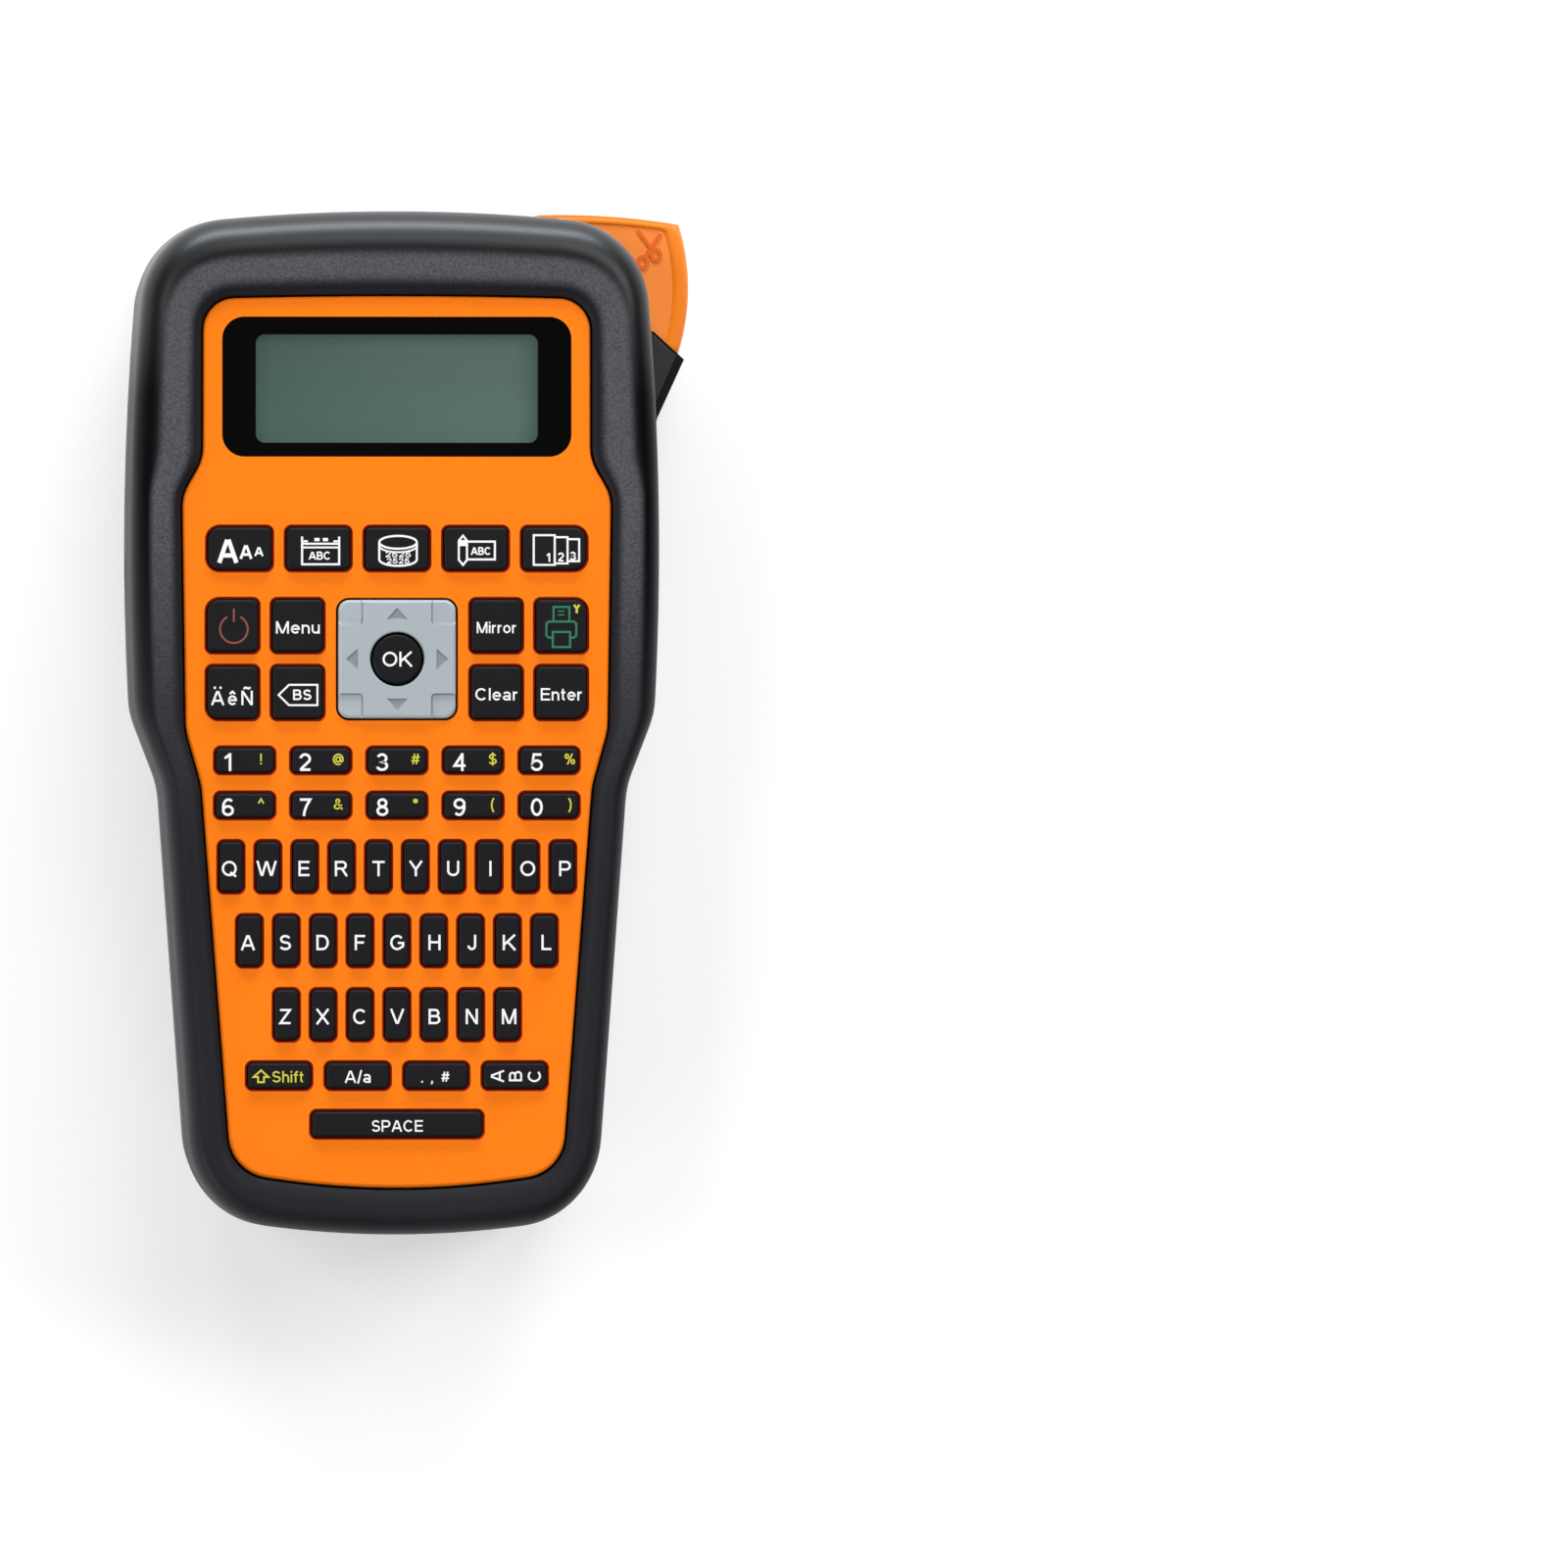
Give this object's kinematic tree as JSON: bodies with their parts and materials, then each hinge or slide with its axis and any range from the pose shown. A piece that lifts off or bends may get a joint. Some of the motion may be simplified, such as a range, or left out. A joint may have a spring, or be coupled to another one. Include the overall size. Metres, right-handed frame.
{
  "type": "label maker",
  "caption": "Handheld label printer with a rubber-edged case, display window, keyboard, four-way pad, side cutter lever, cassette drive and battery bay behind a hinged rear cover.",
  "frame": {"origin": "on the outer face of the rear cover, on the case's plane of symmetry and half way along its length", "axes": "+Z out of the key face, +Y towards the display end, +X towards the tape exit and cutter lever"},
  "size_m": [0.1149, 0.207, 0.059],
  "materials": {
    "bumper": "matte",
    "case": "satin",
    "panel": "satin",
    "window": "gloss",
    "lcd": "satin",
    "board": "satin",
    "mat": "matte",
    "steel": "satin",
    "heat_sink": "satin",
    "ceramic": "satin",
    "roller": "matte",
    "gear": "satin",
    "lever": "satin",
    "blade": "gloss",
    "cassette": "satin",
    "tape": "satin",
    "ribbon": "satin",
    "cell": "satin",
    "key": "satin",
    "nav": "satin"
  },
  "bodies": {
    "case": {"front_panel": "panel", "bumper_frame": "bumper", "rear_case": "case", "inner_chassis": "case", "display_window": "window", "lcd_panel": "lcd", "lcd_holder": "gear", "main_board": "board", "keypad_mat": "mat", "board_screws": "steel", "case_screws": "steel", "mech_plate": "steel", "print_head": "ceramic", "heat_sink": "heat_sink", "roller_holder": "steel", "drive_motor": "steel", "cutter_pin": "steel", "fixed_blade": "blade", "cutter_spring": "steel", "tape_guide": "case", "cassette_case": "cassette", "cassette_lid": "cassette", "batteries": "cell", "battery_contacts": "steel", "dc_jack": "case"},
    "cover": {"rear_cover": "case"},
    "lever": {"cutter_lever": "lever", "moving_blade": "blade"},
    "idler": {"idler_gear": "gear"},
    "platen": {"platen_gear": "gear", "platen_shaft": "steel", "platen_roller": "roller"},
    "pinion": {"motor_pinion": "gear"},
    "takeup": {"takeup_spindle": "gear", "ribbon_spool": "ribbon"},
    "tape_roll": {"tape_roll": "tape"},
    "nav_carrier": {"nav_carrier": "mat"},
    "nav_pad": {"nav_pad": "nav"},
    "ok_key": {"ok_key": "key"},
    "text_size_key": {"text_size_key": "key"},
    "frame_key": {"frame_key": "key"},
    "wrap_key": {"wrap_key": "key"},
    "flag_key": {"flag_key": "key"},
    "copies_key": {"copies_key": "key"},
    "power_key": {"power_key": "key"},
    "menu_key": {"menu_key": "key"},
    "mirror_key": {"mirror_key": "key"},
    "print_key": {"print_key": "key"},
    "accent_key": {"accent_key": "key"},
    "backspace_key": {"backspace_key": "key"},
    "clear_key": {"clear_key": "key"},
    "enter_key": {"enter_key": "key"},
    "digit_keys_upper": {"digit_keys_upper": "key"},
    "digit_keys_lower": {"digit_keys_lower": "key"},
    "letter_keys_upper": {"letter_keys_upper": "key"},
    "letter_keys_middle": {"letter_keys_middle": "key"},
    "letter_keys_lower": {"letter_keys_lower": "key"},
    "modifier_keys": {"modifier_keys": "key"},
    "space_key": {"space_key": "key"}
  },
  "joints": [
    {"name": "cover_hinge", "type": "hinge", "parent": "case", "child": "cover", "pos_m": [0, -0.0512, 0], "axis": [-1, 0, 0], "range_deg": [0, 70]},
    {"name": "cutter_press", "type": "hinge", "parent": "case", "child": "lever", "pos_m": [0.0182, 0.0882, 0.015], "axis": [0, 0, -1], "range_deg": [0, 7], "stiffness_Nm_per_rad": 1.5, "springref_deg": -8.59},
    {"name": "idler_spin", "type": "hinge", "parent": "case", "child": "idler", "pos_m": [0.032, 0.0621, 0.0276], "axis": [0, 0, 1], "continuous": true},
    {"name": "platen_spin", "type": "hinge", "parent": "case", "child": "platen", "pos_m": [0.032, 0.0761, 0.015], "axis": [0, 0, 1], "continuous": true},
    {"name": "pinion_spin", "type": "hinge", "parent": "case", "child": "pinion", "pos_m": [0.032, 0.0496, 0.0276], "axis": [0, 0, 1], "continuous": true},
    {"name": "takeup_spin", "type": "hinge", "parent": "case", "child": "takeup", "pos_m": [0.013, 0.0621, 0.015], "axis": [0, 0, 1], "continuous": true},
    {"name": "tape_roll_spin", "type": "hinge", "parent": "case", "child": "tape_roll", "pos_m": [-0.0149, 0.0587, 0.015], "axis": [0, 0, 1], "continuous": true},
    {"name": "nav_left_right", "type": "hinge", "parent": "case", "child": "nav_carrier", "pos_m": [0, 0.01285, 0.0511], "axis": [0, 1, 0], "range_deg": [-2.5, 2.5], "stiffness_Nm_per_rad": 0.4},
    {"name": "nav_up_down", "type": "hinge", "parent": "nav_carrier", "child": "nav_pad", "pos_m": [0, 0.01285, 0.0539], "axis": [1, 0, 0], "range_deg": [-2.5, 2.5], "stiffness_Nm_per_rad": 0.4},
    {"name": "text_size_press", "type": "slide", "parent": "case", "child": "text_size_key", "axis": [0, 0, -1], "range_m": [0, 0.0009], "stiffness_N_per_m": 600, "springref_m": -0.0005},
    {"name": "frame_press", "type": "slide", "parent": "case", "child": "frame_key", "axis": [0, 0, -1], "range_m": [0, 0.0009], "stiffness_N_per_m": 600, "springref_m": -0.0005},
    {"name": "wrap_press", "type": "slide", "parent": "case", "child": "wrap_key", "axis": [0, 0, -1], "range_m": [0, 0.0009], "stiffness_N_per_m": 600, "springref_m": -0.0005},
    {"name": "flag_press", "type": "slide", "parent": "case", "child": "flag_key", "axis": [0, 0, -1], "range_m": [0, 0.0009], "stiffness_N_per_m": 600, "springref_m": -0.0005},
    {"name": "copies_press", "type": "slide", "parent": "case", "child": "copies_key", "axis": [0, 0, -1], "range_m": [0, 0.0009], "stiffness_N_per_m": 600, "springref_m": -0.0005},
    {"name": "power_press", "type": "slide", "parent": "case", "child": "power_key", "axis": [0, 0, -1], "range_m": [0, 0.0009], "stiffness_N_per_m": 600, "springref_m": -0.0005},
    {"name": "menu_press", "type": "slide", "parent": "case", "child": "menu_key", "axis": [0, 0, -1], "range_m": [0, 0.0009], "stiffness_N_per_m": 600, "springref_m": -0.0005},
    {"name": "mirror_press", "type": "slide", "parent": "case", "child": "mirror_key", "axis": [0, 0, -1], "range_m": [0, 0.0009], "stiffness_N_per_m": 600, "springref_m": -0.0005},
    {"name": "print_press", "type": "slide", "parent": "case", "child": "print_key", "axis": [0, 0, -1], "range_m": [0, 0.0009], "stiffness_N_per_m": 600, "springref_m": -0.0005},
    {"name": "accent_press", "type": "slide", "parent": "case", "child": "accent_key", "axis": [0, 0, -1], "range_m": [0, 0.0009], "stiffness_N_per_m": 600, "springref_m": -0.0005},
    {"name": "backspace_press", "type": "slide", "parent": "case", "child": "backspace_key", "axis": [0, 0, -1], "range_m": [0, 0.0009], "stiffness_N_per_m": 600, "springref_m": -0.0005},
    {"name": "clear_press", "type": "slide", "parent": "case", "child": "clear_key", "axis": [0, 0, -1], "range_m": [0, 0.0009], "stiffness_N_per_m": 600, "springref_m": -0.0005},
    {"name": "enter_press", "type": "slide", "parent": "case", "child": "enter_key", "axis": [0, 0, -1], "range_m": [0, 0.0009], "stiffness_N_per_m": 600, "springref_m": -0.0005},
    {"name": "digit_row_upper_press", "type": "slide", "parent": "case", "child": "digit_keys_upper", "axis": [0, 0, -1], "range_m": [0, 0.0009], "stiffness_N_per_m": 600, "springref_m": -0.0005},
    {"name": "digit_row_lower_press", "type": "slide", "parent": "case", "child": "digit_keys_lower", "axis": [0, 0, -1], "range_m": [0, 0.0009], "stiffness_N_per_m": 600, "springref_m": -0.0005},
    {"name": "letter_row_upper_press", "type": "slide", "parent": "case", "child": "letter_keys_upper", "axis": [0, 0, -1], "range_m": [0, 0.0009], "stiffness_N_per_m": 600, "springref_m": -0.0005},
    {"name": "letter_row_middle_press", "type": "slide", "parent": "case", "child": "letter_keys_middle", "axis": [0, 0, -1], "range_m": [0, 0.0009], "stiffness_N_per_m": 600, "springref_m": -0.0005},
    {"name": "letter_row_lower_press", "type": "slide", "parent": "case", "child": "letter_keys_lower", "axis": [0, 0, -1], "range_m": [0, 0.0009], "stiffness_N_per_m": 600, "springref_m": -0.0005},
    {"name": "modifier_row_press", "type": "slide", "parent": "case", "child": "modifier_keys", "axis": [0, 0, -1], "range_m": [0, 0.0009], "stiffness_N_per_m": 600, "springref_m": -0.0005},
    {"name": "space_press", "type": "slide", "parent": "case", "child": "space_key", "axis": [0, 0, -1], "range_m": [0, 0.0009], "stiffness_N_per_m": 600, "springref_m": -0.0005},
    {"name": "ok_press", "type": "slide", "parent": "case", "child": "ok_key", "axis": [0, 0, -1], "range_m": [0, 0.0009], "stiffness_N_per_m": 600, "springref_m": -0.0005}
  ],
  "couplings": [
    {"joint": "platen_spin", "follows": "idler_spin", "ratio": -1.8},
    {"joint": "pinion_spin", "follows": "idler_spin", "ratio": -2.5714},
    {"joint": "takeup_spin", "follows": "idler_spin", "ratio": -0.9}
  ]
}
